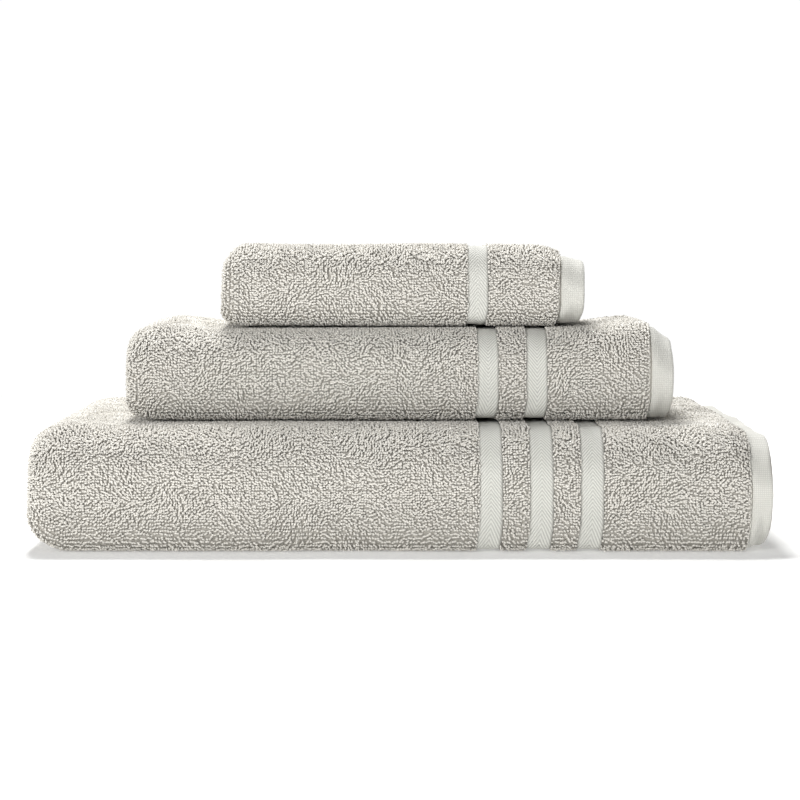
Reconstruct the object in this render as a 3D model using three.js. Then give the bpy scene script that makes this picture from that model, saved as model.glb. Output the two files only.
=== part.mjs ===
// A set of three folded terry towels in a stack: bath towel, hand towel and washcloth.
// Millimetres, +Z up. +X runs along the folded bundles to their hemmed ends, and -Y is the side of the front fold.
// The origin is the middle of the bath towel's underside.
//
// Each towel is one rectangle of cloth. It is folded across its length first, so that it runs to and fro along X
// in a few layers, and then lengthwise in thirds, so that the whole pack of layers wraps round the front and back.
// A piece of a towel is therefore a flat profile, X against depth into the pack, swept along the lengthwise fold.

import * as THREE from 'three';

// Clearances
const LAYER_GAP = 0.3; // between neighbouring layers and panels of cloth
const SEAM_GAP = 0.3; // between neighbouring pieces of one cloth
const STACK_GAP = 0.3; // between one towel and the next in the stack

// Woven and sewn edges that the three towels share
const BAND_THICKNESS = 1.4; // dobby bands, woven flat without pile
const HEM_THICKNESS = 3.2; // turned and sewn edges
const SIDE_HEM_WIDTH = 8;
const THREAD_WIDTH = 0.7; // lockstitch beside each hem
const THREAD_PROUD = 0.2; // how far the stitches stand above the hem

// Steps in the curves
const WIDE_FOLD_STEPS = 6;
const TIGHT_FOLD_STEPS = 4;
const CORNER_STEPS = 4;

// length, depth: outside of the folded bundle. cloth: thickness over the pile. layers: in each of the three panels.
// frontFlat: upright run between the front fold's two round corners. topInset: top panel's free edge to the back.
// turnInset: inner crosswise fold to the hemmed end.
// farInset: tucked end of the cloth to the bundle's hemmed end, or to the fold where it lies at that side.
// The border is bands with terry stripes between them, then the end terry and the end hem.
// shift, setback: the bundle's middle in X, and its front edge behind the bath towel's.
const TOWELS = [
  {
    name: 'bath', length: 350, depth: 229, cloth: 4.6, layers: 4,
    frontFlat: 6.5, topInset: 16, turnInset: 2, farInset: 2.5,
    bands: 3, bandWidth: 11.3, stripeWidth: 11.7, endTerry: 67.3, hemWidth: 9.8,
    shift: 0, setback: 0,
  },
  {
    name: 'hand', length: 264.5, depth: 136, cloth: 4.7, layers: 3,
    frontFlat: 4.7, topInset: 9.5, turnInset: 2, farInset: 3,
    bands: 2, bandWidth: 10.6, stripeWidth: 12.8, endTerry: 48, hemWidth: 10.4,
    shift: 0, setback: 39,
  },
  {
    name: 'wash', length: 178, depth: 110, cloth: 6.3, layers: 2,
    frontFlat: 3.3, topInset: 7, turnInset: 2, farInset: 15.5,
    bands: 1, bandWidth: 10.4, stripeWidth: 0, endTerry: 34, hemWidth: 11.6,
    shift: 2, setback: 55,
  },
];

const COLOURS = { terry: 0xbebab2, band: 0xcbcac2, hem: 0xd2d0c8, thread: 0xdcdad2 };
const FINISHES = { terry: 0.95, band: 0.8, hem: 0.85, thread: 0.7 };

const vec = (a, b) => new THREE.Vector2(a, b);

// Sizes that follow from a towel's own. A pack is the layers of one panel, and the height is three packs.
function measures(towel) {
  const pitch = towel.cloth + LAYER_GAP;
  const pack = towel.layers * pitch - LAYER_GAP;
  const panelPitch = pack + LAYER_GAP;
  const wideRadius = ((towel.layers - 1) * pitch) / 2;
  const tightRadius = pitch / 2;
  const left = -towel.length / 2;
  const right = towel.length / 2;
  return {
    pitch, pack, panelPitch, left, right,
    height: 2 * panelPitch + pack,
    foldX: left + wideRadius + towel.cloth / 2,
    turnX: right - towel.turnInset - tightRadius - towel.cloth / 2,
    depthOf: (layer) => (layer - 1) * pitch + towel.cloth / 2,
  };
}

// Stations on an arc about a centre, from one angle round by a turn, with their directions away from the centre.
function arcStations(centre, radius, start, turn, steps) {
  const stations = [];
  for (let i = 0; i <= steps; i += 1) {
    const angle = start + (turn * i) / steps;
    const away = vec(Math.cos(angle), Math.sin(angle));
    stations.push({ at: away.clone().multiplyScalar(radius).add(centre), away });
  }
  return stations;
}

// The lengthwise fold in the YZ plane, as stations on the outer face with their directions into the pack.
// It starts at the middle panel's free edge, just inside the front fold's corners, goes back over that panel, down
// round the back fold, forward underneath, up round the front fold, and ends at the top panel's free edge.
function lengthwiseFold(towel) {
  const { pack, panelPitch, height } = measures(towel);
  const front = -towel.depth / 2;
  const back = towel.depth / 2;
  const backRadius = (panelPitch + pack) / 2;
  const corner = (height - towel.frontFlat) / 2;
  const arcs = [
    [vec(back - backRadius, backRadius), backRadius, Math.PI / 2, -Math.PI, WIDE_FOLD_STEPS],
    [vec(front + corner, corner), corner, -Math.PI / 2, -Math.PI / 2, CORNER_STEPS],
    [vec(front + corner, height - corner), corner, Math.PI, -Math.PI / 2, CORNER_STEPS],
  ];
  const curved = arcs.flatMap((arc) => arcStations(...arc));
  const down = vec(0, -1);
  return [
    { at: vec(front + corner + LAYER_GAP, 2 * backRadius), inward: down },
    ...curved.map(({ at, away }) => ({ at, inward: away.negate() })),
    { at: vec(back - towel.topInset, height), inward: down },
  ];
}

// The point at a distance from one end of a fold, which starts and ends with a straight run.
function stationFrom(end, next, distance) {
  const step = next.at.clone().sub(end.at).setLength(distance);
  return { at: end.at.clone().add(step), inward: end.inward };
}

// Divides a lengthwise fold into the cloth between the side hems, and each side's hem and row of stitches.
function splitFold(fold) {
  const threadStart = SIDE_HEM_WIDTH + SEAM_GAP;
  const threadEnd = threadStart + THREAD_WIDTH;
  const head = (distance) => stationFrom(fold[0], fold[1], distance);
  const tail = (distance) => stationFrom(fold.at(-1), fold.at(-2), distance);
  return {
    cloth: [head(threadEnd + SEAM_GAP), ...fold.slice(1, -1), tail(threadEnd + SEAM_GAP)],
    innerHem: [fold[0], head(SIDE_HEM_WIDTH)],
    innerThread: [head(threadStart), head(threadEnd)],
    outerHem: [tail(SIDE_HEM_WIDTH), fold.at(-1)],
    outerThread: [tail(threadEnd), tail(threadStart)],
  };
}

// The order in which the cloth passes through the layers. It runs left in the first of them, right in the next,
// and so on: the outer layer folds round to the innermost, and the rest fill the space between, back to layer 2.
function layerOrder(towel) {
  const order = [1];
  for (let layer = towel.layers; layer > 1; layer -= 1) order.push(layer);
  return order;
}

// Where the tucked end of the cloth lies, and the direction along X from it back into the cloth.
function tuckedEnd(towel) {
  const { foldX, right } = measures(towel);
  const endsRight = towel.layers % 2 === 0;
  return endsRight ? { x: right - towel.farInset, into: -1 } : { x: foldX + towel.farInset, into: 1 };
}

// A profile of the cloth through its crosswise folds, X against depth, from nearX on the outer layer to farX on
// the last one. The middle line is widened by half the thickness to each side.
function foldedProfile(towel, nearX, farX, thickness) {
  const { foldX, turnX, depthOf } = measures(towel);
  const order = layerOrder(towel);
  const line = [{ at: vec(nearX, depthOf(1)), side: vec(0, -1) }];
  for (let i = 1; i < order.length; i += 1) {
    const before = depthOf(order[i - 1]);
    const after = depthOf(order[i]);
    const atLeft = i % 2 === 1;
    const centre = vec(atLeft ? foldX : turnX, (before + after) / 2);
    const turn = atLeft && before > after ? Math.PI : -Math.PI;
    const start = before < after ? -Math.PI / 2 : Math.PI / 2;
    const steps = i === 1 ? WIDE_FOLD_STEPS : TIGHT_FOLD_STEPS;
    const radius = Math.abs(after - before) / 2;
    for (const { at, away } of arcStations(centre, radius, start, turn, steps)) {
      line.push({ at, side: turn < 0 ? away : away.negate() });
    }
  }
  line.push({ at: vec(farX, depthOf(order.at(-1))), side: line.at(-1).side });
  const offset = ({ at, side }, distance) => at.clone().addScaledVector(side, distance);
  const one = line.map((point) => offset(point, thickness / 2));
  const other = line.map((point) => offset(point, -thickness / 2));
  return [...one, ...other.reverse()];
}

// A rectangular profile on one layer, between two places along X.
function flatProfile(towel, layer, x0, x1, thickness) {
  const depth = measures(towel).depthOf(layer);
  const [a, b] = [Math.min(x0, x1), Math.max(x0, x1)];
  const [top, bottom] = [depth - thickness / 2, depth + thickness / 2];
  return [vec(a, top), vec(b, top), vec(b, bottom), vec(a, bottom)];
}

// A closed solid: the profile swept along the stations of a fold, with both ends capped.
function sweep(outline, stations) {
  const profile = THREE.ShapeUtils.isClockWise(outline) ? [...outline].reverse() : outline;
  const count = profile.length;
  const positions = stations.flatMap(({ at, inward }) =>
    profile.flatMap((p) => [p.x, at.x + p.y * inward.x, at.y + p.y * inward.y]));
  const index = [];
  for (let k = 0; k + 1 < stations.length; k += 1) {
    for (let i = 0; i < count; i += 1) {
      const j = (i + 1) % count;
      const [a, b] = [k * count + i, k * count + j];
      index.push(a, b, b + count, a, b + count, a + count);
    }
  }
  const lastRing = (stations.length - 1) * count;
  for (const [a, b, c] of THREE.ShapeUtils.triangulateShape(profile, [])) {
    index.push(c, b, a, lastRing + a, lastRing + b, lastRing + c);
  }
  const geometry = new THREE.BufferGeometry();
  geometry.setAttribute('position', new THREE.Float32BufferAttribute(positions, 3));
  geometry.setIndex(index);
  geometry.computeVertexNormals();
  return geometry;
}

function piece(name, finish, geometry) {
  const look = { color: COLOURS[finish], roughness: FINISHES[finish], metalness: 0 };
  const mesh = new THREE.Mesh(geometry, new THREE.MeshStandardMaterial(look));
  mesh.name = name;
  return mesh;
}

// The zones of a towel's border, from the end of the cloth inwards.
function borderZones(towel) {
  const threadThickness = HEM_THICKNESS + 2 * THREAD_PROUD;
  const zones = [
    { name: 'end_hem', finish: 'hem', width: towel.hemWidth, thickness: HEM_THICKNESS },
    { name: 'end_hem_thread', finish: 'thread', width: THREAD_WIDTH, thickness: threadThickness },
    { name: 'end_terry', finish: 'terry', width: towel.endTerry, thickness: towel.cloth },
  ];
  for (let i = towel.bands; i > 0; i -= 1) {
    zones.push({ name: `band_${i}`, finish: 'band', width: towel.bandWidth, thickness: BAND_THICKNESS });
    if (i === 1) break;
    zones.push({
      name: `stripe_${i - 1}`, finish: 'terry', width: towel.stripeWidth, thickness: towel.cloth,
    });
  }
  return zones;
}

// One end's border on a straight layer: the meshes, and the place along X where the terry field begins.
function border(towel, prefix, layer, end, stations) {
  const meshes = [];
  let x = end.x;
  for (const zone of borderZones(towel)) {
    const next = x + end.into * zone.width;
    const geometry = sweep(flatProfile(towel, layer, x, next, zone.thickness), stations);
    meshes.push(piece(`${towel.name}_${prefix}${zone.name}`, zone.finish, geometry));
    x = next + end.into * SEAM_GAP;
  }
  return { meshes, fieldX: x };
}

// One side's hem and stitches, which follow the edge of the cloth through all of its layers.
function sideHem(towel, side, hemStations, threadStations) {
  const { right } = measures(towel);
  const profile = (thickness) => foldedProfile(towel, right, tuckedEnd(towel).x, thickness);
  const name = `${towel.name}_${side}_side_hem`;
  const threadThickness = HEM_THICKNESS + 2 * THREAD_PROUD;
  return [
    piece(name, 'hem', sweep(profile(HEM_THICKNESS), hemStations)),
    piece(`${name}_thread`, 'thread', sweep(profile(threadThickness), threadStations)),
  ];
}

function foldedTowel(towel) {
  const group = new THREE.Group();
  const fold = splitFold(lengthwiseFold(towel));
  const shownEnd = { x: measures(towel).right, into: -1 };
  const shown = border(towel, '', 1, shownEnd, fold.cloth);
  const tucked = border(towel, 'tucked_', layerOrder(towel).at(-1), tuckedEnd(towel), fold.cloth);
  const field = foldedProfile(towel, shown.fieldX, tucked.fieldX, towel.cloth);
  group.add(piece(`${towel.name}_terry_field`, 'terry', sweep(field, fold.cloth)));
  group.add(...shown.meshes, ...tucked.meshes);
  group.add(...sideHem(towel, 'top', fold.outerHem, fold.outerThread));
  group.add(...sideHem(towel, 'inner', fold.innerHem, fold.innerThread));
  return group;
}

// Stacks the towels, each on the one before, with their fronts set back from the first one's.
function towelStack() {
  const stack = new THREE.Group();
  const frontLine = -TOWELS[0].depth / 2;
  let base = 0;
  for (const towel of TOWELS) {
    const bundle = foldedTowel(towel);
    bundle.position.set(towel.shift, frontLine + towel.setback + towel.depth / 2, base);
    stack.add(bundle);
    base += measures(towel).height + STACK_GAP;
  }
  return stack;
}

export default towelStack();
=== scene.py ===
"""The looks of a stack of three folded terry towels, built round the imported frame.

Each towel is one rectangle of cloth, folded to and fro along X and then lengthwise in thirds. Every
piece of it is made flat, in cloth coordinates, and carried into place by the towel's own fold:
  v  along the cloth's length, from the end that shows to the end that is tucked in
  u  across its width, from the edge inside the middle panel to the edge on top at the back
  w  above the cloth's middle, on the side that is outermost at the end that shows
"""

import math

import bpy
import numpy as np
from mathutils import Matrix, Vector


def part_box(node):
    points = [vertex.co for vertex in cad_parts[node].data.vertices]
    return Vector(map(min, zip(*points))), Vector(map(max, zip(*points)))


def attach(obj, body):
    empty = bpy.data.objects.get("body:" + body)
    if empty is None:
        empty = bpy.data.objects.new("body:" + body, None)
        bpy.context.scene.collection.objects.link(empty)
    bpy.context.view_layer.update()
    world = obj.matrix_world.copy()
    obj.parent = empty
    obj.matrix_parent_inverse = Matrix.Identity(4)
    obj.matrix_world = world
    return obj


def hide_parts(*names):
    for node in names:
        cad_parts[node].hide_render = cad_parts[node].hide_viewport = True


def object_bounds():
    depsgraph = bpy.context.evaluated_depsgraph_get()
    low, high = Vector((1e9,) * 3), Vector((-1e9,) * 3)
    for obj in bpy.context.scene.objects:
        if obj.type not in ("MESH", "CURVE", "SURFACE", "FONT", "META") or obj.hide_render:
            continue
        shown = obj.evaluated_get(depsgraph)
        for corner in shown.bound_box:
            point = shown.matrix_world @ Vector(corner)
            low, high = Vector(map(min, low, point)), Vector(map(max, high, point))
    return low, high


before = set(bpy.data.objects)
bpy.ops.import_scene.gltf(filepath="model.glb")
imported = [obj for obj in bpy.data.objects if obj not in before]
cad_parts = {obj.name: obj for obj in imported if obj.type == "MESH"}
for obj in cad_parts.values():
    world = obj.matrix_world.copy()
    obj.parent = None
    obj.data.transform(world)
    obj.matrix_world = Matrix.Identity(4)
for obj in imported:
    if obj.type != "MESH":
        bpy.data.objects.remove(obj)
cad_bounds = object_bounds()

# Lengths are in metres and angles in radians.

# The folds that the CAD model holds
LAYER_GAP = 0.0003
TURN_INSET = 0.002  # inner crosswise fold to the hemmed end
BACK_INSET = {"bath": 0.016, "hand": 0.0095, "wash": 0.007}  # top panel's edge to the back fold's outside
FRONT_FLAT = {"bath": 0.0065, "hand": 0.0047, "wash": 0.0033}  # upright run of the front fold
LAYERS = {"bath": 4, "hand": 3, "wash": 2}  # of cloth in each of the three panels
BANDS = {"bath": 3, "hand": 2, "wash": 1}  # in each border
BODIES = {"bath": "bath_towel", "hand": "hand_towel", "wash": "washcloth"}

# Cloth
PILE_HEIGHT = 0.0017  # from the woven ground to the tips of the loops
BAND_RECESS = 0.0013  # bands lie this far below the tips of the loops
CORE_HALF = 0.0004  # half the thickness of the cloth that runs on under the bands and hems
EDGE_STEP = 0.0003  # the ground's step down beside a band reaches this far either side of the edge
COARSE_STEP = 0.005  # mesh of the woven ground where it runs straight
FINE_STEP = 0.0011  # and round its folds
SIDE_HEM_GAP = 0.001  # its rows keep this far from the step beside a side hem
FOLD_STEP = 0.0004  # spacing of the points that the folds are worked out at

# Hems
HEM_HALF = 0.0016  # half the thickness of an end hem
HEM_PINCH = 0.35  # share of its thickness that an end hem loses at its stitches
HEM_PINCH_SPAN = (0.0028, 0.0006)  # where it does, from the hem's inner edge
HEM_ROWS = 15
HEM_CROWDING = 1.3  # power that draws those rows towards the turned edge
HEM_STEP = 0.0012
HEM_INSET = 0.0004  # from the cloth's side edges
HEM_WAVE = (0.0003, 0.030)  # height and wavelength of the waver of its edge
HEM_PUFF = (0.10, 0.016)  # share of thickness, and wavelength
SIDE_HEM = 0.008  # width of a side hem
SIDE_HEM_HALF = 0.0013
SIDE_HEM_PINCH = 0.3
SIDE_HEM_PINCH_SPAN = (0.0022, 0.0006)
SIDE_HEM_ROWS = 9
SIDE_HEM_CROWDING = 1.2
SIDE_HEM_INSET = 0.0006  # from the cloth's ends
SIDE_HEM_PUFF = (0.08, 0.014)

# Stitches
STITCH_PITCH = 0.0028
STITCH_LENGTH = 0.0024
STITCH_RINGS = 5
STITCH_SIDES = 6
STITCH_INSET = 0.0008  # side hem's stitches to its inner edge
STITCH_ENDS = (0.002, 0.004)  # an end hem's row starts and ends this far from the cloth's side edges
SIDE_STITCH_ENDS = 0.012  # and a side hem's row this far from the cloth's ends
STITCH_SEAT = 0.75  # height at which the stitches lie, as a share of half the hem's thickness
SIDE_STITCH_SEAT = 0.8
THREAD_RADIUS = 0.00022
THREAD_RISE = 1.1  # middle of a stitch above its seat, in thread radii
THREAD_END = 0.05  # square of the share of its thickness that a stitch keeps at its ends

# Pile
LOOP_SPACING = 0.00122
LOOP_REACH = 0.00074  # half the length of a loop along the cloth
YARN_RADIUS = 0.00050
LOOP_JITTER = (0.25, 0.15)  # along the cloth and across it, as a share of the spacing
LOOP_DRIFTS = ((0.75, 0.032), (0.35, 0.010))  # how far the loops' heading turns, and over what distance
HEADING_SPREAD = 0.22
LEAN_SPREAD = 0.0004
YARN_RANGE = (0.85, 1.15)  # shares of the values above, from loop to loop
HEIGHT_RANGE = (0.72, 1.10)
REACH_RANGE = (0.75, 1.2)
ROOT_DEPTH = 0.0003  # loops start this far down in the ground
LOOP_SIDES = 3
LOOP_RINGS = ((-0.62, 0.72, 0.8), (0, 1, 0), (0.62, 0.72, -0.8))  # how far along, how high, and pitch
RING_OUT_OF_SHADE = (0.8, 1.0, 0.8)  # share of each ring out of the painted shade at the roots: 0 takes the roots' painted shade, 1 the loops' own colour
LOOP_POINTS = len(LOOP_RINGS) * LOOP_SIDES + 2  # with a point at each root
LOOPS_PER_PIECE = 11000
EDGE_SHORTENING = (0.6, 0.003)  # share of its reach that a loop keeps at an edge, and where it has it all
PILE_OVERHANG = 0.0005  # the outer loops stand this far over a band or hem
HEM_CLEARANCE = 0.0006  # but this far from a side hem
INSIDE_BACK = 0.03  # how far the loops run on inside the back fold
FOLD_LEAD = 0.004  # the loops that cover the whole folded end start this far before its fold
FOLD_TAIL = 0.008  # and end this far after it
TURN_REACH = 0.010  # and inside the hemmed end, this far either side of the fold there
UNDERSIDE_INSET = 0.012  # the sparse loops of the underside start this far inside its folds
UNDERSIDE_SHARE = {"bath": 0.10, "hand": 0.3, "wash": 0.4}  # of the loops are left, where the towel lies

# Herringbone
RIB_PITCH = 0.00186
RIB_SLOPE = 1.3
RIB_RELIEF = 0.00022
RIB_STEPS = 5
RIB_COLUMNS = 8
RIB_FADE = 0.93  # share of half the band's width at which the ribs begin to flatten out
POINTS_UP = {"bath": 1, "hand": -1, "wash": 1}  # which way up the chevrons stand on the front

# How each towel lies
CROWN = {"bath": 0.0015, "hand": 0.003, "wash": 0.0012}  # rise of the top where nothing presses on it
CROWN_SPAN = (-0.004, 0.03)  # outside the towel above, where the top rises
DROOP = {"bath": 0.0053, "hand": 0.0075, "wash": 0.0065}  # fall of the top at the hemmed end
DROOP_SPAN = {"bath": (0.019, 0.006), "hand": (0.013, 0.0), "wash": (0.024, 0.0)}  # from that end
FOLD_FALL = {"bath": 0.006, "hand": 0.006, "wash": 0.009}  # of the top at the folded end
FOLD_LIFT = {"bath": 0.012, "hand": 0.004, "wash": 0.004}  # of the underside there
FOLD_REACH = {"bath": 0.020, "hand": 0.018, "wash": 0.012}
FOLD_POWER = 1.5  # how late that fall and lift set in
FOOT_SWAY = 0.0014  # the foot of each towel lies this far along from its top
FOOT_FROM = 0.75  # share of the way down at which the foot begins
ROUND = 2.0  # power of a superellipse that is a circle
SQUARENESS = {"bath": 12.0, "hand": 6.0, "wash": 5.0}  # power at the corner that the front fold stands on
SLACK = 0.4  # the upper corner's power falls by this at the hemmed end
SLACK_SPAN = (0.016, 0.004)  # where it does, from that end
RISE_WAVE = (0.0005, 0.09)  # height and wavelength of the cloth's slight waver, up and down,
DEPTH_WAVE = (0.0006, 0.08)  # to and fro
LENGTH_WAVE = (0.0004, 0.09)  # and along


# ---------------------------------------------------------------- curves and noise

def arc(centre, radius, start, turn):
    """Points on an arc, close together, both ends included."""
    count = max(8, int(abs(turn) * radius / FOLD_STEP) + 1)
    angles = start + turn * np.linspace(0, 1, count)
    return np.stack([centre[0] + radius * np.cos(angles), centre[1] + radius * np.sin(angles)], 1)


def densify(corners):
    """A polyline through the points with no step longer than FOLD_STEP."""
    parts = []
    for a, b in zip(corners[:-1], corners[1:]):
        count = max(1, int(np.linalg.norm(b - a) / FOLD_STEP))
        parts.append(a + (b - a) * np.linspace(0, 1, count, endpoint=False)[:, None])
    return np.concatenate(parts + [corners[-1:]])


class Line:
    """A plane curve by distance along it, with its left-hand normal."""

    def __init__(self, points):
        keep = np.r_[True, np.linalg.norm(np.diff(points, axis=0), axis=1) > 1e-7]
        self.points = densify(points[keep])
        steps = np.diff(self.points, axis=0)
        self.along = np.r_[0, np.cumsum(np.linalg.norm(steps, axis=1))]
        self.length = self.along[-1]
        tangent = np.gradient(self.points, self.along, axis=0)
        tangent /= np.linalg.norm(tangent, axis=1)[:, None]
        self.normal = np.stack([-tangent[:, 1], tangent[:, 0]], 1)

    def at(self, distance):
        """Points and normals at these distances. The curve runs on straight beyond its ends."""
        d = np.clip(distance, 0, self.length)
        point = np.stack([np.interp(d, self.along, self.points[:, k]) for k in (0, 1)], -1)
        normal = np.stack([np.interp(d, self.along, self.normal[:, k]) for k in (0, 1)], -1)
        ahead = np.stack([normal[..., 1], -normal[..., 0]], -1)
        return point + ahead * (distance - d)[..., None], normal


def ripple(points, wavelength, seed, waves=7):
    """Smooth noise, about -1 to 1, from plane waves in fixed directions."""
    rng = np.random.default_rng(seed)
    directions = rng.normal(size=(waves, points.shape[-1]))
    directions /= np.linalg.norm(directions, axis=1)[:, None]
    lengths = wavelength * rng.uniform(0.7, 1.6, waves)
    phases = rng.uniform(0, 2 * math.pi, waves)
    total = sum(
        np.sin(points @ (direction * 2 * math.pi / length) + phase)
        for direction, length, phase in zip(directions, lengths, phases)
    )
    return total / math.sqrt(waves)


def ripple_along(distances, wavelength, seed):
    """The same noise along a line."""
    return ripple(np.stack([distances, distances * 0], 1), wavelength, seed)


def smooth(x, low, high):
    """0 below low, 1 above high, and a smooth rise between."""
    t = np.clip((x - low) / (high - low), 0, 1)
    return t * t * (3 - 2 * t)


# ---------------------------------------------------------------- the folded towel

class Towel:
    """One folded towel: its sizes, read from its CAD nodes, and the way from flat cloth to folded cloth."""

    def __init__(self, name, seed):
        self.name = name
        self.seed = seed
        self.body = BODIES[name]
        self.layers = LAYERS[name]
        corners = [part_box(n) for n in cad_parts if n.startswith(name + "_")]
        self.low = np.min([c[0] for c in corners], 0)
        self.high = np.max([c[1] for c in corners], 0)
        self.height = self.high[2] - self.low[2]
        self.pitch = (self.height + LAYER_GAP) / (3 * self.layers)
        self.cloth = self.pitch - LAYER_GAP
        self.ground = self.cloth / 2 - PILE_HEIGHT
        self.pack = self.layers * self.pitch - LAYER_GAP
        self.above = None
        self.lengthwise = Line(self.lengthwise_points())
        self.crosswise = Line(self.crosswise_points())
        self.width = self.lengthwise.length
        self.length = self.crosswise.length

    def span(self, part):
        """The lowest and highest X of one of this towel's nodes."""
        low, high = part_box(f"{self.name}_{part}")
        return low[0], high[0]

    def shown(self, part):
        """Where a part of the shown border lies along v."""
        low, high = self.span(part)
        return self.high[0] - high, self.high[0] - low

    def tucked(self, part):
        """Where a part of the tucked border lies along v."""
        end_low, end_high = self.span("tucked_end_hem")
        low, high = self.span("tucked_" + part)
        if self.layers % 2 == 0:
            return self.length - (end_high - low), self.length - (end_high - high)
        return self.length - (high - end_low), self.length - (low - end_low)

    def lengthwise_points(self):
        """The outer face in the YZ plane, from the middle panel's edge round back and front to the top."""
        front, back, base = self.low[1], self.high[1], self.low[2]
        panel = self.pack + LAYER_GAP
        round_back = (panel + self.pack) / 2
        corner = (self.height - FRONT_FLAT[self.name]) / 2
        quarter = math.pi / 2
        start = [[front + corner + LAYER_GAP, base + 2 * round_back]]
        arcs = [
            arc((back - round_back, base + round_back), round_back, quarter, -2 * quarter),
            arc((front + corner, base + corner), corner, -quarter, -quarter),
            arc((front + corner, base + self.height - corner), corner, 2 * quarter, -quarter),
        ]
        end = [[back - BACK_INSET[self.name], base + self.height]]
        self.u_back = back - round_back - start[0][0]  # where the back fold begins
        self.u_under = self.u_back + math.pi * round_back  # where the run underneath begins
        self.u_front = self.u_under + back - round_back - front - corner  # where the front fold begins
        return np.concatenate([start, *arcs, end])

    def depth(self, layer):
        """Depth into the pack of a layer's middle. Layer 1 is the outermost."""
        return (layer - 1) * self.pitch + self.cloth / 2

    def crosswise_points(self):
        """The cloth's middle through its layers, as X against depth into the pack."""
        wide = (self.layers - 1) * self.pitch / 2
        fold_x = self.low[0] + wide + self.cloth / 2
        turn_x = self.high[0] - TURN_INSET - self.pitch / 2 - self.cloth / 2
        order = [1] + list(range(self.layers, 1, -1))
        runs = [np.array([[self.high[0], self.depth(1)]])]
        self.crosswise_folds = []
        so_far = 0.0
        at_x = self.high[0]
        for i, (a, b) in enumerate(zip(order[:-1], order[1:])):
            before, after = self.depth(a), self.depth(b)
            at_left = i % 2 == 0
            start = -math.pi / 2 if before < after else math.pi / 2
            turn = math.pi if at_left and before > after else -math.pi
            centre = (fold_x if at_left else turn_x, (before + after) / 2)
            runs.append(arc(centre, abs(after - before) / 2, start, turn))
            so_far += abs(at_x - centre[0])
            round_fold = math.pi * abs(after - before) / 2
            self.crosswise_folds.append((so_far, so_far + round_fold))
            so_far += round_fold
            at_x = centre[0]
        self.v_fold, self.v_folded = self.crosswise_folds[0]
        self.v_turn, self.v_turned = self.crosswise_folds[min(1, len(self.crosswise_folds) - 1)]
        low, high = self.span("tucked_end_hem")
        end_x = high if self.layers % 2 == 0 else low
        return np.concatenate(runs + [np.array([[end_x, self.depth(order[-1])]])])

    def fold(self, v, u, w):
        """Places in space for points of the cloth."""
        v, u, w = np.broadcast_arrays(v, u, w)
        middle, side = self.crosswise.at(v)
        across = middle + side * w[..., None]
        outer, out = self.lengthwise.at(u)
        yz = outer - out * across[..., 1:]
        return self.settle(np.concatenate([across[..., :1], yz], -1))

    def settle(self, place):
        """Folded cloth as it lies: square at its foot, fuller where it is free, lower at its ends."""
        place = self.squared(place)
        up = (place[..., 2] - self.low[2]) / self.height
        x = place[..., 0]
        droop_from, droop_to = (self.high[0] - d for d in DROOP_SPAN[self.name])
        fall = DROOP[self.name] * smooth(x, droop_from, droop_to)
        fold_end = np.clip(1 - (x - self.low[0]) / FOLD_REACH[self.name], 0, 1) ** FOLD_POWER
        fall = fall + FOLD_FALL[self.name] * fold_end
        lift = up * (CROWN[self.name] * (1 - self.pressed(place)) - fall)
        lift = lift + (1 - up) * FOLD_LIFT[self.name] * fold_end
        lift = lift + self.waver(place, RISE_WAVE, 0) * up
        depth = self.waver(place, DEPTH_WAVE, 1)
        sway = self.waver(place, LENGTH_WAVE, 2) - FOOT_SWAY * smooth(1 - up, FOOT_FROM, 1.0)
        return place + np.stack([sway, depth, lift], -1)

    def waver(self, place, wave, which):
        """A slight wave through the whole towel, of its own for each of the three directions."""
        height, wavelength = wave
        return height * ripple(place, wavelength, self.seed + which)

    def squared(self, place):
        """The front fold's round corners, pressed square below, and slacker at the hemmed end."""
        radius = (self.height - FRONT_FLAT[self.name]) / 2
        y = place[..., 1]
        z = place[..., 2]
        forward = np.clip(self.low[1] + radius - y, 0, None) / radius
        end_from, end_to = (self.high[0] - d for d in SLACK_SPAN)
        end = smooth(place[..., 0], end_from, end_to)
        below = SQUARENESS[self.name] * (1 - end) + ROUND * end
        above = ROUND - SLACK * end
        for side, power in ((-1, below), (1, above)):
            centre = self.low[2] + radius if side < 0 else self.high[2] - radius
            beyond = np.clip(side * (z - centre), 0, None) / radius
            both = (forward > 1e-6) & (beyond > 1e-6)
            a = np.where(both, forward, 1)
            b = np.where(both, beyond, 0)
            grow = np.hypot(a, b) / (a**power + b**power) ** (1 / power) - 1
            y = y - np.where(both, forward * grow * radius, 0)
            z = z + side * np.where(both, beyond * grow * radius, 0)
        return np.stack([place[..., 0], y, z], -1)

    def pressed(self, place):
        """1 under the towel above, falling to 0 a little way outside it."""
        if self.above is None:
            return np.zeros(place.shape[:-1])
        inside = np.ones(place.shape[:-1])
        for axis in (0, 1):
            low, high = self.above.low[axis], self.above.high[axis]
            outside = np.maximum(low - place[..., axis], place[..., axis] - high)
            inside = inside * (1 - smooth(outside, *CROWN_SPAN))
        return inside


# ---------------------------------------------------------------- meshes

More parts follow.
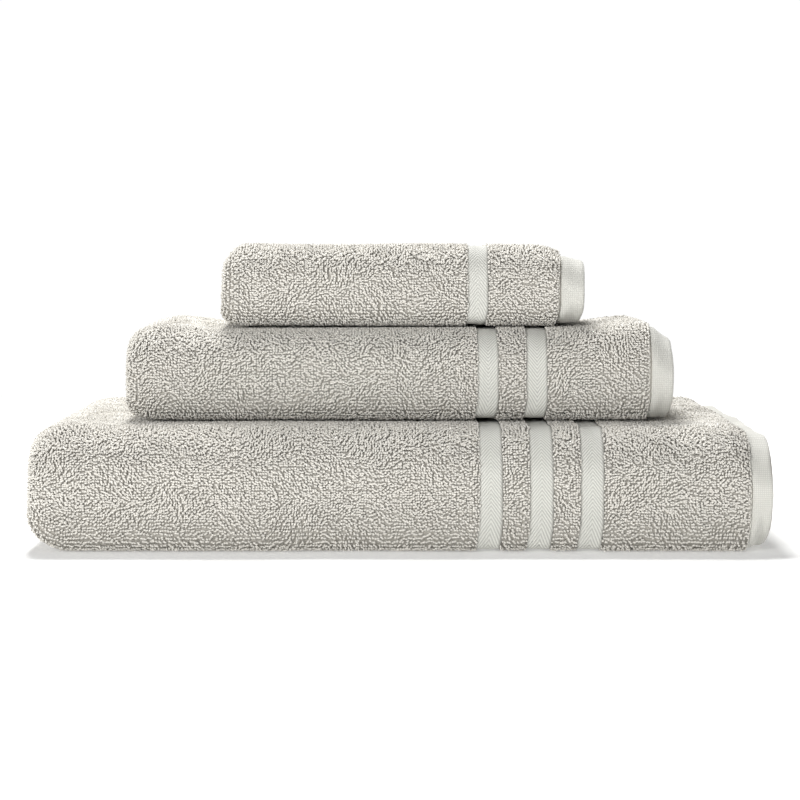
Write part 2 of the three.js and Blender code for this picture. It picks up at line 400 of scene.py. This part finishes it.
def new_object(name, vertices, faces, material, values=None, is_smooth=True):
    """An object from arrays of vertices and faces: one array of faces for each count of corners.

    values gives each vertex named numbers for the material to read.
    """
    mesh = bpy.data.meshes.new(name)
    corners = np.concatenate([f.ravel() for f in faces])
    counts = np.concatenate([np.full(len(f), f.shape[1]) for f in faces])
    mesh.vertices.add(len(vertices))
    mesh.vertices.foreach_set("co", np.ascontiguousarray(vertices, np.float32).ravel())
    mesh.loops.add(len(corners))
    mesh.loops.foreach_set("vertex_index", np.ascontiguousarray(corners, np.int32))
    mesh.polygons.add(len(counts))
    mesh.polygons.foreach_set("loop_start", np.r_[0, np.cumsum(counts)[:-1]].astype(np.int32))
    mesh.polygons.foreach_set("use_smooth", np.full(len(counts), is_smooth))
    for key, numbers in (values or {}).items():
        attribute = mesh.attributes.new(key, "FLOAT", "POINT")
        attribute.data.foreach_set("value", np.ascontiguousarray(numbers, np.float32).ravel())
    mesh.update(calc_edges=True)
    mesh.materials.append(material)
    made = bpy.data.objects.new(name, mesh)
    bpy.context.scene.collection.objects.link(made)
    return made


def ring_faces(rows, sides):
    """Quads of one tube: rows of rings, each with its points in order round it."""
    row, side = np.meshgrid(np.arange(rows - 1), np.arange(sides), indexing="ij")
    a = row * sides + side
    b = row * sides + (side + 1) % sides
    return np.stack([a, b, b + sides, a + sides], -1).reshape(-1, 4)


def tube_solid(name, rings, material, values=None):
    """A closed solid from rings with an even count of points. A strip of quads closes each end."""
    rows, sides = rings.shape[:2]
    half = np.arange(sides // 2 - 1)
    strip = np.stack([half, half + 1, sides - 2 - half, sides - 1 - half], -1)
    faces = np.concatenate([ring_faces(rows, sides), strip[:, ::-1], strip + (rows - 1) * sides])
    return new_object(name, rings.reshape(-1, 3), [faces], material, values)


def place_piece(made, towel, nodes=()):
    """Puts a finished piece on its towel's body."""
    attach(made, towel.body)
    if nodes:
        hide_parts(*[f"{towel.name}_{n}" for n in nodes])
    return made


# ---------------------------------------------------------------- cloth

def border_parts(towel):
    """Names of the border's terry parts and of its bands, at one end."""
    bands = [f"band_{i + 1}" for i in range(BANDS[towel.name])]
    stripes = [f"stripe_{i + 1}" for i in range(BANDS[towel.name] - 1)]
    return stripes + ["end_terry"], bands


def terry_spans(towel):
    """The stretches of v that have pile."""
    terry, _ = border_parts(towel)
    field = (towel.shown("band_1")[1], towel.tucked("band_1")[0])
    return [towel.shown(n) for n in terry] + [field] + [towel.tucked(n) for n in terry]


def stations(length, folds):
    """Places along a length: wide apart where it runs straight, and close together round the folds."""
    coarse = np.linspace(0, length, int(length / COARSE_STEP) + 1)
    fine = [np.linspace(a, b, int((b - a) / FINE_STEP) + 2) for a, b in folds]
    return np.unique(np.concatenate([coarse, *fine]).round(5))


def cloth_sheet(towel, material):
    """The whole woven cloth: thick where it carries pile, thin where bands and hems cover it."""
    edges = np.array(terry_spans(towel)).ravel()
    near = np.concatenate([edges - EDGE_STEP, edges + EDGE_STEP])
    v = stations(towel.length, towel.crosswise_folds)
    is_clear = (np.abs(v[:, None] - edges) > 2 * EDGE_STEP).all(1)
    v = np.unique(np.r_[v[is_clear], near, 0, towel.length])
    v = v[(v >= 0) & (v <= towel.length)]
    inner, outer = SIDE_HEM, towel.width - SIDE_HEM
    u = stations(towel.width, [])
    u = u[(u > inner + SIDE_HEM_GAP) & (u < outer - SIDE_HEM_GAP)]
    u = np.r_[0, inner - 2 * EDGE_STEP, inner, u, outer, outer + 2 * EDGE_STEP, towel.width]
    has_pile = sum(((v > a) & (v < b)) for a, b in terry_spans(towel)) > 0
    is_open = (u >= inner) & (u <= outer)
    half = np.where(has_pile[:, None] & is_open[None, :], towel.ground, CORE_HALF)
    top = towel.fold(v[:, None], u[None, :], half)
    bottom = towel.fold(v[:, None], u[None, :], -half)
    rings = np.concatenate([top, bottom[:, ::-1]], 1)
    # the ground gets height 0, so the terry material paints it with the painted shade of the roots
    flat_values = np.zeros(rings.shape[:2])
    values = {"height": flat_values, "shade": flat_values + 0.5}
    made = tube_solid(f"{towel.name}_cloth", rings, material, values)
    terry, _ = border_parts(towel)
    return place_piece(made, towel, ["terry_field"] + terry + ["tucked_" + n for n in terry])


def pile_spots(towel, rng):
    """Where the loops stand, and their room to the nearest edge: a jittered grid over what can be seen."""
    low, high = SIDE_HEM + HEM_CLEARANCE, towel.width - SIDE_HEM - HEM_CLEARANCE
    u_seen = towel.u_back - INSIDE_BACK
    field_start = towel.shown("band_1")[1]
    field_end = towel.v_fold - FOLD_LEAD
    terry, _ = border_parts(towel)
    spans = [towel.shown(n) for n in terry]
    stretches = [(a - PILE_OVERHANG, b + PILE_OVERHANG, u_seen, high) for a, b in spans]
    stretches.append((field_start - PILE_OVERHANG, field_end, u_seen, high))
    stretches.append((field_end, towel.v_folded + FOLD_TAIL, low, high))
    if towel.layers > 2:
        turn_start = towel.v_turn - TURN_REACH - PILE_OVERHANG
        stretches.append((turn_start, towel.v_turned + TURN_REACH, low, high))
    spots = []
    for v0, v1, u0, u1 in stretches:
        rows = max(1, round((v1 - v0) / LOOP_SPACING))
        columns = max(1, round((u1 - u0) / LOOP_SPACING))
        i, j = np.meshgrid(np.arange(rows), np.arange(columns), indexing="ij")
        shift = 0.5 + rng.uniform(-1, 1, (2, rows, columns)) * np.reshape(LOOP_JITTER, (2, 1, 1))
        v = v0 + (v1 - v0) * (i + shift[0]) / rows
        u = u0 + (u1 - u0) * (j + shift[1]) / columns
        spots.append(np.stack([v.ravel(), u.ravel()], 1))
    spots = np.concatenate(spots)
    edges = np.array(spans + [(field_start, towel.length)]).ravel()
    room = np.abs(spots[:, :1] - edges).min(1)
    v, u = spots.T
    underneath = (u > towel.u_under + UNDERSIDE_INSET) & (u < towel.u_front - UNDERSIDE_INSET)
    underneath &= v < field_end
    kept = ~underneath | (rng.random(len(spots)) < UNDERSIDE_SHARE[towel.name])
    return spots[kept], room[kept]


def frames_at(towel, spots, height):
    """Origin, normal and two directions in the cloth at each spot."""
    v, u = spots[:, 0], spots[:, 1]
    nudge = 0.0003
    origin = towel.fold(v, u, height)
    along = towel.fold(v + nudge, u, height) - towel.fold(v - nudge, u, height)
    across = towel.fold(v, u + nudge, height) - towel.fold(v, u - nudge, height)
    along /= np.linalg.norm(along, axis=1)[:, None]
    across -= along * (across * along).sum(1)[:, None]
    across /= np.linalg.norm(across, axis=1)[:, None]
    return origin, np.cross(across, along), along, across


def loop_faces():
    """One loop: rings of points, drawn in to a point at each root."""
    around = np.arange(LOOP_SIDES)
    after = (around + 1) % LOOP_SIDES
    last = (len(LOOP_RINGS) - 1) * LOOP_SIDES
    first_root, last_root = LOOP_POINTS - 2, LOOP_POINTS - 1
    roots = np.concatenate([
        np.stack([np.full(LOOP_SIDES, first_root), after, around], -1),
        np.stack([np.full(LOOP_SIDES, last_root), last + around, last + after], -1),
    ])
    return ring_faces(len(LOOP_RINGS), LOOP_SIDES), roots


def pile(towel, material):
    """The terry loops: arches of yarn that lie over in drifts, in pieces one beside the other across u."""
    rng = np.random.default_rng(towel.seed + 10)
    spots, room = pile_spots(towel, rng)
    order = np.argsort(spots[:, 1], kind="stable")
    spots, room = spots[order], room[order]
    origin, up, along, across = frames_at(towel, spots, towel.ground - ROOT_DEPTH)
    count = len(spots)
    drift = sum(
        turn * ripple(spots, wavelength, towel.seed + 11 + k)
        for k, (turn, wavelength) in enumerate(LOOP_DRIFTS)
    )
    heading = drift + rng.normal(0, HEADING_SPREAD, count)
    ahead = along * np.cos(heading)[:, None] + across * np.sin(heading)[:, None]
    aside = np.cross(up, ahead)
    thick = YARN_RADIUS * rng.uniform(*YARN_RANGE, count)
    tall = (PILE_HEIGHT + ROOT_DEPTH) * rng.uniform(*HEIGHT_RANGE, count) - thick / 2
    at_edge, edge_reach = EDGE_SHORTENING
    reach = LOOP_REACH * rng.uniform(*REACH_RANGE, count) * np.clip(at_edge + room / edge_reach, 0, 1)
    lean = rng.normal(0, LEAN_SPREAD, count)

    def arch(forward, rise):
        """A place on each loop, from its middle forward and up."""
        return (
            origin
            + ahead * (reach * forward)[:, None]
            + up * (tall * rise)[:, None]
            + aside * (lean * rise)[:, None]
        )

    angles = np.arange(LOOP_SIDES) * 2 * math.pi / LOOP_SIDES - math.pi / 2  # a flat side up
    points = []
    for forward, rise, pitch in LOOP_RINGS:
        over = up * math.cos(pitch) - ahead * math.sin(pitch)
        rim = over[:, None] * np.sin(angles)[:, None] + aside[:, None] * np.cos(angles)[:, None]
        points.append(arch(forward, rise)[:, None] + rim * thick[:, None, None])
    points.append(np.stack([arch(-1, 0), arch(1, 0)], 1))
    points = np.concatenate(points, 1)
    # how far each point is out of the painted shade at the roots: 0 at the roots, up to 1 at the top ring
    height = np.tile(np.r_[np.repeat(RING_OUT_OF_SHADE, LOOP_SIDES), 0, 0], (count, 1))
    shade = np.repeat(rng.random((count, 1)), LOOP_POINTS, 1)
    sides, roots = loop_faces()
    made = []
    for k, part in enumerate(np.array_split(np.arange(count), math.ceil(count / LOOPS_PER_PIECE))):
        start = np.arange(len(part))[:, None, None] * LOOP_POINTS
        faces = [(f[None] + start).reshape(-1, f.shape[1]) for f in (sides, roots)]
        values = {"height": height[part], "shade": shade[part]}
        name = f"{towel.name}_pile_{k + 1}"
        piece = new_object(name, points[part].reshape(-1, 3), faces, material, values)
        made.append(place_piece(piece, towel))
    return made


# ---------------------------------------------------------------- bands

def band(towel, part, v_span, material):
    """A flat band whose mesh rows follow the herringbone's ribs, so that each rib is a real ridge.

    A tucked band, which nobody sees, has no ridges.
    """
    v0, v1 = v_span
    is_tucked = part.startswith("tucked_")
    q = np.linspace(-1, 1, RIB_COLUMNS + 1)
    v = (v0 + v1) / 2 + q * (v1 - v0) / 2
    ribs = int((towel.width - 2 * SIDE_HEM) / RIB_PITCH)
    rows = ribs * (1 if is_tucked else RIB_STEPS)
    line = np.linspace(SIDE_HEM, towel.width - SIDE_HEM, rows + 1)
    rise = POINTS_UP[towel.name] * RIB_SLOPE * (v1 - v0) / 2 * (0.5 - np.abs(q))
    u = np.clip(line[:, None] + rise[None, :], SIDE_HEM, towel.width - SIDE_HEM)
    phase = np.arange(rows + 1) * math.pi * ribs / rows
    rib = np.abs(np.sin(phase))[:, None] * (1 - smooth(np.abs(q), RIB_FADE, 1.0))[None, :]
    half = towel.cloth / 2 - BAND_RECESS
    top = half + RIB_RELIEF * rib
    v_ring = np.broadcast_to(np.r_[v, v[::-1]], (rows + 1, 2 * len(v)))
    u_ring = np.concatenate([u, u[:, ::-1]], 1)
    w_ring = np.concatenate([top, np.full_like(top, -half)], 1)
    rings = towel.fold(v_ring, u_ring, w_ring)
    # the ribs' relief also drives painted shade: darker between the ribs, towards the band's edges, on its
    # underside and over the whole of a tucked band
    height = np.concatenate([rib, np.zeros_like(rib)], 1)
    values = {"height": height[:, ::-1]}
    made = tube_solid(f"{towel.name}_{part}_weave", rings[:, ::-1], material, values)
    return place_piece(made, towel, [part])


# ---------------------------------------------------------------- hems and stitches

def rounded(distance, radius):
    """0 at an edge, rising as a quarter circle to 1 at the radius."""
    t = np.clip(distance / radius, 0, 1)
    return np.sqrt(np.clip(1 - (1 - t) ** 2, 0, 1))


def end_hem(towel, part, v_span, material):
    """A turned and sewn end: full at the folded edge, and pinched where the stitches hold it."""
    v0, v1 = v_span
    at_start = part == "end_hem"
    width = v1 - v0
    s = np.linspace(0, 1, HEM_ROWS) ** HEM_CROWDING * width
    pinch_from, pinch_to = (width - d for d in HEM_PINCH_SPAN)
    swell = rounded(s, HEM_HALF) * (1 - HEM_PINCH * smooth(s, pinch_from, pinch_to))
    v = v0 + s if at_start else v1 - s
    u = np.linspace(HEM_INSET, towel.width - HEM_INSET, int(towel.width / HEM_STEP))
    puff = 1 + HEM_PUFF[0] * ripple_along(u, HEM_PUFF[1], towel.seed + 30)
    half = HEM_HALF * swell[None, :] * puff[:, None]
    wave = HEM_WAVE[0] * ripple_along(u, HEM_WAVE[1], towel.seed + 31)
    v_ring = np.r_[v, v[::-1]][None, :] + wave[:, None]
    w_ring = np.concatenate([half, -half[:, ::-1]], 1)
    rings = towel.fold(v_ring, u[:, None] + 0 * w_ring, w_ring)
    rings = rings[:, ::-1] if at_start else rings
    made = tube_solid(f"{towel.name}_{part}_cloth", rings, material)
    return place_piece(made, towel, [part])


def side_hem(towel, side, material):
    """A narrow turned edge that follows the cloth through all of its layers."""
    s = np.linspace(0, 1, SIDE_HEM_ROWS) ** SIDE_HEM_CROWDING * (SIDE_HEM - EDGE_STEP)
    u = towel.width - s if side == "top" else s
    pinch_from, pinch_to = (SIDE_HEM - d for d in SIDE_HEM_PINCH_SPAN)
    pinch = SIDE_HEM_PINCH * smooth(s, pinch_from, pinch_to)
    half = SIDE_HEM_HALF * rounded(s, SIDE_HEM_HALF) * (1 - pinch)
    v = np.linspace(SIDE_HEM_INSET, towel.length - SIDE_HEM_INSET, int(towel.length / FINE_STEP))
    puff = 1 + SIDE_HEM_PUFF[0] * ripple_along(v, SIDE_HEM_PUFF[1], towel.seed + 33)
    w_ring = puff[:, None] * np.r_[half, -half[::-1]][None, :]
    rings = towel.fold(v[:, None] + 0 * w_ring, np.r_[u, u[::-1]][None, :] + 0 * w_ring, w_ring)
    rings = rings[:, ::-1] if side == "inner" else rings
    made = tube_solid(f"{towel.name}_{side}_side_hem_cloth", rings, material)
    return place_piece(made, towel, [f"{side}_side_hem"])


def stitch_row(towel, name, starts, place, nodes, material):
    """Lockstitches: short beads of thread, each dipping into the cloth at its ends.

    starts are distances along the row, and place(run, offset, rise) gives points beside and above it.
    """
    t = np.linspace(0, 1, STITCH_RINGS)
    angles = np.arange(STITCH_SIDES) * 2 * math.pi / STITCH_SIDES
    bulge = np.sqrt(np.clip(1 - (2 * t - 1) ** 4, THREAD_END, 1))
    middle = THREAD_RADIUS * bulge * THREAD_RISE
    offset = THREAD_RADIUS * np.cos(angles)[None, :] * bulge[:, None]
    rise = middle[:, None] + THREAD_RADIUS * np.sin(angles)[None, :] * bulge[:, None]
    runs = [(start + t * STITCH_LENGTH)[:, None] + 0 * angles for start in starts]
    points = np.array([place(run, offset, rise) for run in runs])
    first_points = np.arange(len(starts))[:, None, None] * STITCH_RINGS * STITCH_SIDES
    faces = (ring_faces(STITCH_RINGS, STITCH_SIDES)[None] + first_points).reshape(-1, 4)
    made = new_object(f"{towel.name}_{name}", points.reshape(-1, 3), [faces], material)
    return place_piece(made, towel, nodes)


def end_stitches(towel, part, v_span, material):
    """The row that sews down an end hem."""
    v_middle = sum(v_span) / 2
    lift = HEM_HALF * STITCH_SEAT
    starts = np.arange(STITCH_ENDS[0], towel.width - STITCH_ENDS[1], STITCH_PITCH)

    def place(run, offset, rise):
        return towel.fold(v_middle + offset, run, lift + rise)

    return stitch_row(towel, part.replace("_thread", "_stitches"), starts, place, [part], material)


def side_stitches(towel, side, material):
    """The row that sews down a side hem."""
    u_row = towel.width - SIDE_HEM + STITCH_INSET if side == "top" else SIDE_HEM - STITCH_INSET
    lift = SIDE_HEM_HALF * SIDE_STITCH_SEAT
    starts = np.arange(SIDE_STITCH_ENDS, towel.length - SIDE_STITCH_ENDS, STITCH_PITCH)

    def place(run, offset, rise):
        return towel.fold(run, u_row + offset, lift + rise)

    name = f"{side}_side_hem_stitches"
    return stitch_row(towel, name, starts, place, [f"{side}_side_hem_thread"], material)


# ---------------------------------------------------------------- materials

def add_node(tree, kind, inputs=None, **settings):
    """A new node in a tree. Each input is given a value or joined to a socket."""
    node = tree.nodes.new(kind)
    for key, value in settings.items():
        setattr(node, key, value)
    for key, value in (inputs or {}).items():
        if isinstance(value, bpy.types.NodeSocket):
            tree.links.new(value, node.inputs[key])
        else:
            node.inputs[key].default_value = value
    return node


class Nodes:
    """A material's node tree, with short calls to add and join nodes."""

    def __init__(self, name):
        self.material = bpy.data.materials.new(name)
        self.material.use_nodes = True
        self.tree = self.material.node_tree
        self.shader = self.tree.nodes["Principled BSDF"]

    def add(self, kind, inputs=None, **settings):
        return add_node(self.tree, kind, inputs, **settings)

    def mix(self, factor, a, b):
        """The colour between a and b."""
        return self.add("ShaderNodeMix", {0: factor, 6: a, 7: b}, data_type="RGBA").outputs[2]

    def finish(self, colour, roughness, sheen, normal=None):
        """Joins the colour and the bump to the shader, and gives the material."""
        self.tree.links.new(colour, self.shader.inputs["Base Color"])
        self.shader.inputs["Roughness"].default_value = roughness
        self.shader.inputs["Sheen Weight"].default_value = sheen
        self.shader.inputs["Sheen Roughness"].default_value = 0.6
        self.shader.inputs["Specular IOR Level"].default_value = 0.25
        if normal is not None:
            self.tree.links.new(normal, self.shader.inputs["Normal"])
        return self.material


def linear(red, green, blue):
    """A colour from its display numbers, 0 to 255."""
    share = [c / 255 for c in (red, green, blue)]
    return (*[c / 12.92 if c <= 0.04045 else ((c + 0.055) / 1.055) ** 2.4 for c in share], 1)


def terry_material():
    """Cotton pile: each loop a slightly different tone at random, with painted shade down at its roots."""
    n = Nodes("terry")
    where = n.add("ShaderNodeTexCoord").outputs["Object"]
    drift = n.add("ShaderNodeTexNoise", {"Vector": where, "Scale": 28.0, "Detail": 1.0}).outputs["Fac"]
    fibre = n.add("ShaderNodeTexNoise", {"Vector": where, "Scale": 2600.0, "Detail": 3.0}).outputs["Fac"]
    shade = n.add("ShaderNodeAttribute", attribute_name="shade").outputs["Fac"]
    loop = n.mix(shade, linear(226, 223, 215), linear(246, 243, 235))
    loop = n.mix(drift, loop, linear(235, 231, 223))
    height = n.add("ShaderNodeAttribute", attribute_name="height").outputs["Fac"]
    # painted shade: low height, at the loops' roots and on the woven ground between them, takes the darker
    # colour
    colour = n.mix(height, linear(186, 182, 174), loop)
    bump = n.add("ShaderNodeBump", {"Height": fibre, "Strength": 0.5, "Distance": 0.0002})
    return n.finish(colour, 0.95, 0.25, bump.outputs["Normal"])


def band_material():
    """Flat woven cotton: pale ribs with painted shade between them, and fine thread grain."""
    n = Nodes("herringbone")
    where = n.add("ShaderNodeTexCoord").outputs["Object"]
    fibre = n.add("ShaderNodeTexNoise", {"Vector": where, "Scale": 1800.0, "Detail": 3.0}).outputs["Fac"]
    cloud = n.add("ShaderNodeTexNoise", {"Vector": where, "Scale": 90.0, "Detail": 2.0}).outputs["Fac"]
    rib = n.mix(cloud, linear(216, 216, 209), linear(224, 224, 217))
    height = n.add("ShaderNodeAttribute", attribute_name="height").outputs["Fac"]
    # painted shade: the low parts between the ribs take the darker colour
    colour = n.mix(height, linear(176, 175, 169), rib)
    bump = n.add("ShaderNodeBump", {"Height": fibre, "Strength": 0.35, "Distance": 0.0001})
    return n.finish(colour, 0.75, 0.15, bump.outputs["Normal"])


def hem_material():
    """Fine basket weave on the turned hems."""
    n = Nodes("hem_weave")
    where = n.add("ShaderNodeTexCoord").outputs["Object"]
    waves = [
        n.add(
            "ShaderNodeTexWave",
            {"Vector": where, "Scale": 340.0, "Distortion": 1.6, "Detail": 2.0},
            bands_direction=axis,
        ).outputs["Fac"]
        for axis in ("X", "Z")
    ]
    weave = n.add("ShaderNodeMath", {0: waves[0], 1: waves[1]}, operation="MULTIPLY").outputs[0]
    cloud = n.add("ShaderNodeTexNoise", {"Vector": where, "Scale": 120.0, "Detail": 2.0}).outputs["Fac"]
    thread = n.mix(cloud, linear(222, 221, 214), linear(232, 231, 224))
    colour = n.mix(weave, linear(202, 201, 194), thread)
    bump = n.add("ShaderNodeBump", {"Height": weave, "Strength": 0.6, "Distance": 0.0002})
    return n.finish(colour, 0.85, 0.15, bump.outputs["Normal"])


def thread_material():
    """Twisted sewing thread."""
    n = Nodes("sewing_thread")
    where = n.add("ShaderNodeTexCoord").outputs["Object"]
    twist = n.add("ShaderNodeTexNoise", {"Vector": where, "Scale": 3000.0, "Detail": 1.0}).outputs["Fac"]
    colour = n.mix(twist, linear(222, 220, 212), linear(236, 234, 226))
    return n.finish(colour, 0.6, 0.1)


# ---------------------------------------------------------------- the stage

CAMERA_DISTANCE = 1.11  # from the bath towel's front fold
CAMERA_HEIGHT = 0.150
CAMERA_TILT = math.radians(4.02)
FOCAL_LENGTH = 107.5  # mm, on a 36 mm sensor
CAMERA_X = 0.0007
FLOOR_RADIUS = 1.0
FLOOR_SIDES = 96
TABLE_GLOW = 0.25  # the table top is lit from inside
HORIZON_GLOW = 1.75  # of the tent in front
BACKDROP_GLOW = 0.7  # and behind
OVERHEAD_GLOW = 0.2
WHITE_GLOW = 1.02  # of the tent as the camera sees it
FRONT_TO_BACK = (-0.5, 0.3)  # Y of the direction, where the horizon's glow changes
UP_TO_OVERHEAD = (0.0, 0.34)  # Z of the direction, where it fades to the overhead one
SOFTBOX = {"location": (-0.2, 0.88, 1.62), "size": 0.5, "power": 47}
FRONT_FILL = {"location": (-0.7, -1.3, 0.45), "size": 0.35, "power": 9}


def camera():
    """A long lens a little above the stack, looking slightly down on it."""
    data = bpy.data.cameras.new("camera")
    data.lens = FOCAL_LENGTH
    data.clip_start = 0.01
    made = bpy.data.objects.new("camera", data)
    made.location = (CAMERA_X, cad_bounds[0][1] - CAMERA_DISTANCE, CAMERA_HEIGHT)
    made.rotation_euler = (math.pi / 2 - CAMERA_TILT, 0, 0)
    bpy.context.scene.collection.objects.link(made)
    bpy.context.scene.camera = made


def floor():
    """A pale round light table, bright enough to melt into the white round it."""
    angles = np.linspace(0, 2 * math.pi, FLOOR_SIDES + 1)[:-1]
    rim = FLOOR_RADIUS * np.stack([np.cos(angles), np.sin(angles), 0 * angles], 1)
    n = Nodes("floor")
    where = n.add("ShaderNodeTexCoord").outputs["Object"]
    tone = n.add("ShaderNodeTexNoise", {"Vector": where, "Scale": 3.0}).outputs["Fac"]
    colour = n.mix(tone, linear(240, 240, 239), linear(243, 243, 242))
    material = n.finish(colour, 0.9, 0.0)
    n.shader.inputs["Emission Color"].default_value = (1, 1, 1, 1)
    n.shader.inputs["Emission Strength"].default_value = TABLE_GLOW
    made = new_object("floor", rim, [np.arange(FLOOR_SIDES)[None]], material, is_smooth=False)


def area_light(name, location, size, power):
    """A square light that faces the foot of the stack."""
    data = bpy.data.lights.new(name, "AREA")
    data.shape = "SQUARE"
    data.size = size
    data.energy = power
    made = bpy.data.objects.new(name, data)
    made.location = location
    made.rotation_euler = (-made.location).to_track_quat("-Z", "Y").to_euler()
    bpy.context.scene.collection.objects.link(made)


def world_light():
    """A light tent: brightest near the horizon in front, dimmer behind and above, white to the camera."""
    world = bpy.data.worlds.new("studio")
    world.use_nodes = True
    tree = world.node_tree
    direction = add_node(tree, "ShaderNodeTexCoord").outputs["Generated"]
    split = add_node(tree, "ShaderNodeSeparateXYZ", {0: direction}).outputs
    seen = add_node(tree, "ShaderNodeLightPath").outputs["Is Camera Ray"]

    def fade(value, span, glow_at_start, glow_at_end):
        inputs = {
            "Value": value,
            "From Min": span[0],
            "From Max": span[1],
            "To Min": glow_at_start,
            "To Max": glow_at_end,
        }
        ramp = add_node(tree, "ShaderNodeMapRange", inputs, interpolation_type="SMOOTHSTEP")
        return ramp.outputs["Result"]

    horizon = fade(split["Y"], FRONT_TO_BACK, HORIZON_GLOW, BACKDROP_GLOW)
    glow = fade(split["Z"], UP_TO_OVERHEAD, horizon, OVERHEAD_GLOW)
    background = tree.nodes["Background"]
    tree.links.new(fade(seen, (0.0, 1.0), glow, WHITE_GLOW), background.inputs["Strength"])
    background.inputs["Color"].default_value = (1, 1, 1, 1)
    bpy.context.scene.world = world


def lights():
    """The tent, a softbox above and behind, and a weaker one low in front."""
    world_light()
    bpy.context.scene.view_settings.view_transform = "Standard"
    area_light("softbox", **SOFTBOX)
    area_light("front_fill", **FRONT_FILL)


# ---------------------------------------------------------------- the set

def towel_pieces(towel, looks):
    """Every piece of one towel."""
    cloth = cloth_sheet(towel, looks["terry"])
    others = pile(towel, looks["terry"])
    _, bands = border_parts(towel)
    for name in bands:
        others.append(band(towel, name, towel.shown(name), looks["band"]))
        others.append(band(towel, "tucked_" + name, towel.tucked(name), looks["band"]))
    for prefix, span_of in (("", towel.shown), ("tucked_", towel.tucked)):
        others.append(end_hem(towel, prefix + "end_hem", span_of("end_hem"), looks["hem"]))
        row = span_of("end_hem_thread")
        others.append(end_stitches(towel, prefix + "end_hem_thread", row, looks["thread"]))
    for side in ("top", "inner"):
        others.append(side_hem(towel, side, looks["hem"]))
        others.append(side_stitches(towel, side, looks["thread"]))


def towel_set():
    """The three towels, each told which one lies on it."""
    looks = {
        "terry": terry_material(),
        "band": band_material(),
        "hem": hem_material(),
        "thread": thread_material(),
    }
    towels = [Towel(name, seed) for name, seed in (("bath", 100), ("hand", 200), ("wash", 300))]
    for lower, upper in zip(towels[:-1], towels[1:]):
        lower.above = upper
    for towel in towels:
        towel_pieces(towel, looks)


camera()
lights()
floor()
towel_set()
